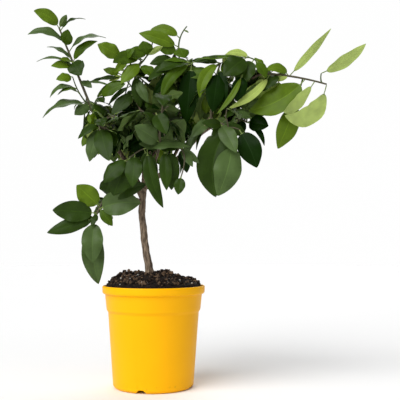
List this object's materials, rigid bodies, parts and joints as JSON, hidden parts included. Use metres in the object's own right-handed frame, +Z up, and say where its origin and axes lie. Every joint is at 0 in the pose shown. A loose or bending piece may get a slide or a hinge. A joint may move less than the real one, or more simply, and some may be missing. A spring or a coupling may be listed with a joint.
{
  "type": "potted lemon tree",
  "caption": "Young lemon tree with a lopsided leafy crown on one slim leaning trunk, in a plain tapered plastic pot filled with dark soil.",
  "frame": {"origin": "middle of the pot's flat underside, on the pot's axis", "axes": "+Z up along the pot's axis, front towards -Y, the long arm of the crown towards +X"},
  "size_m": [0.5714, 0.3208, 0.6374],
  "materials": {
    "pot": "moulded yellow plastic with a soft sheen",
    "soil": "dark crumbly potting soil",
    "bark": "smooth grey-brown young bark",
    "foliage": "glossy green leaves, paler underneath"
  },
  "bodies": {
    "root": {"pot": "pot", "soil": "soil", "trunk": "bark", "left_bough": "bark", "low_left_bough": "bark", "right_bough": "bark", "centre_bough": "bark", "front_bough": "bark", "back_bough": "bark", "shoulder_bough": "bark", "back_left_bough": "bark", "top_left_bough": "bark", "inner_bough": "bark", "back_right_bough": "bark", "hanging_bough": "bark", "under_right_bough": "bark", "arm_bough": "bark", "upper_left_leaves": "foliage", "left_shoulder_leaves": "foliage", "low_left_leaves": "foliage", "top_left_leaves": "foliage", "top_leaves": "foliage", "right_inner_leaves": "foliage", "arm_leaves": "foliage", "hanging_leaves": "foliage", "front_leaves": "foliage", "inner_leaves": "foliage", "back_leaves": "foliage", "back_left_leaves": "foliage", "back_right_leaves": "foliage", "under_right_leaves": "foliage"}
  },
  "joints": []
}
